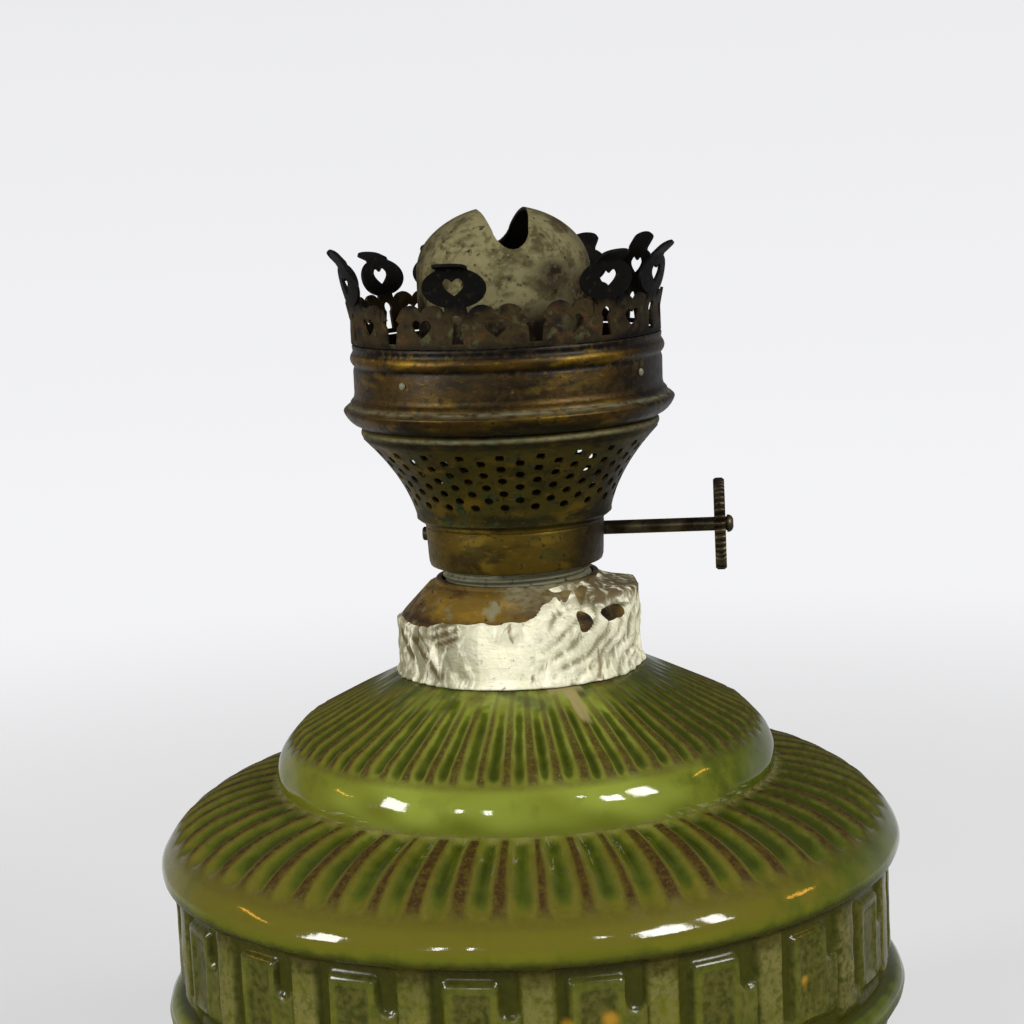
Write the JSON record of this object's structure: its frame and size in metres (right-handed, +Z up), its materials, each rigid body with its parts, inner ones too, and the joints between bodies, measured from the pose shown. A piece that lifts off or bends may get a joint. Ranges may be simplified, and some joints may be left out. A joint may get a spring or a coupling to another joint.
{
  "type": "oil lamp",
  "caption": "Table oil lamp: fluted glazed ceramic font with a fret band, brass collar in plaster, screw-in flat wick burner with winder, perforated basket, coronet gallery and flame dome.",
  "frame": {"origin": "centre of the foot ring on the surface the lamp stands on", "axes": "+Z up along the lamp's axis, +X towards the winder knob, -Y the front"},
  "size_m": [0.1606, 0.1606, 0.2218],
  "materials": {
    "glaze": "glossy olive green glaze with brown deposits in the flutes",
    "plaster": "rough cream plaster of Paris",
    "aged_brass": "tarnished olive brass",
    "dark_brass": "dark brown patinated brass",
    "grey_brass": "grey oxidised brass",
    "sooted_brass": "dull heat-burnt grey khaki sheet",
    "dark_steel": "dark brown oxidised steel",
    "cotton": "woven cotton, charred at the top"
  },
  "bodies": {
    "lamp_base": {"font_body": "glaze", "collar": "aged_brass", "plaster_bed": "plaster"},
    "screw_ring": {"burner_neck": "grey_brass"},
    "burner": {"burner_drum": "aged_brass", "tube_plate": "aged_brass", "wick_tube": "aged_brass", "wheel_cover": "aged_brass", "spindle_bush_right": "aged_brass", "spindle_bush_left": "aged_brass", "air_basket": "aged_brass"},
    "winder": {"spindle": "dark_steel", "feed_wheel_1": "dark_steel", "feed_wheel_2": "dark_steel", "feed_wheel_3": "dark_steel", "feed_wheel_4": "dark_steel", "winder_knob": "dark_steel"},
    "wick": {"wick": "cotton"},
    "gallery": {"gallery_band": "dark_brass", "band_rivet_1": "grey_brass", "band_rivet_2": "grey_brass", "band_rivet_3": "grey_brass", "band_rivet_4": "grey_brass", "gallery_floor": "dark_brass", "coronet": "dark_brass"},
    "dome": {"dome_cap": "sooted_brass"}
  },
  "joints": [
    {"name": "burner_rise", "type": "slide", "parent": "lamp_base", "child": "screw_ring", "axis": [0, 0, 1], "range_m": [0, 0.00545]},
    {"name": "burner_turn", "type": "hinge", "parent": "screw_ring", "child": "burner", "pos_m": [0, 0, 0.146], "axis": [0, 0, 1], "range_deg": [0, 1082]},
    {"name": "winder_turn", "type": "hinge", "parent": "burner", "child": "winder", "pos_m": [0, 0.005, 0.1518], "axis": [-1, 0, 0], "range_deg": [-152, 104]},
    {"name": "wick_feed", "type": "slide", "parent": "burner", "child": "wick", "axis": [0, 0, 1], "range_m": [-0.0095, 0.0065]},
    {"name": "gallery_lift", "type": "slide", "parent": "burner", "child": "gallery", "axis": [0, 0, 1], "range_m": [0, 0.045]},
    {"name": "cap_turn", "type": "hinge", "parent": "gallery", "child": "dome", "pos_m": [0, 0, 0.1914], "axis": [0, 0, 1], "continuous": true}
  ],
  "couplings": [
    {"joint": "burner_turn", "follows": "burner_rise", "rad_per_m": 3459.9},
    {"joint": "winder_turn", "follows": "wick_feed", "rad_per_m": 277.78}
  ]
}
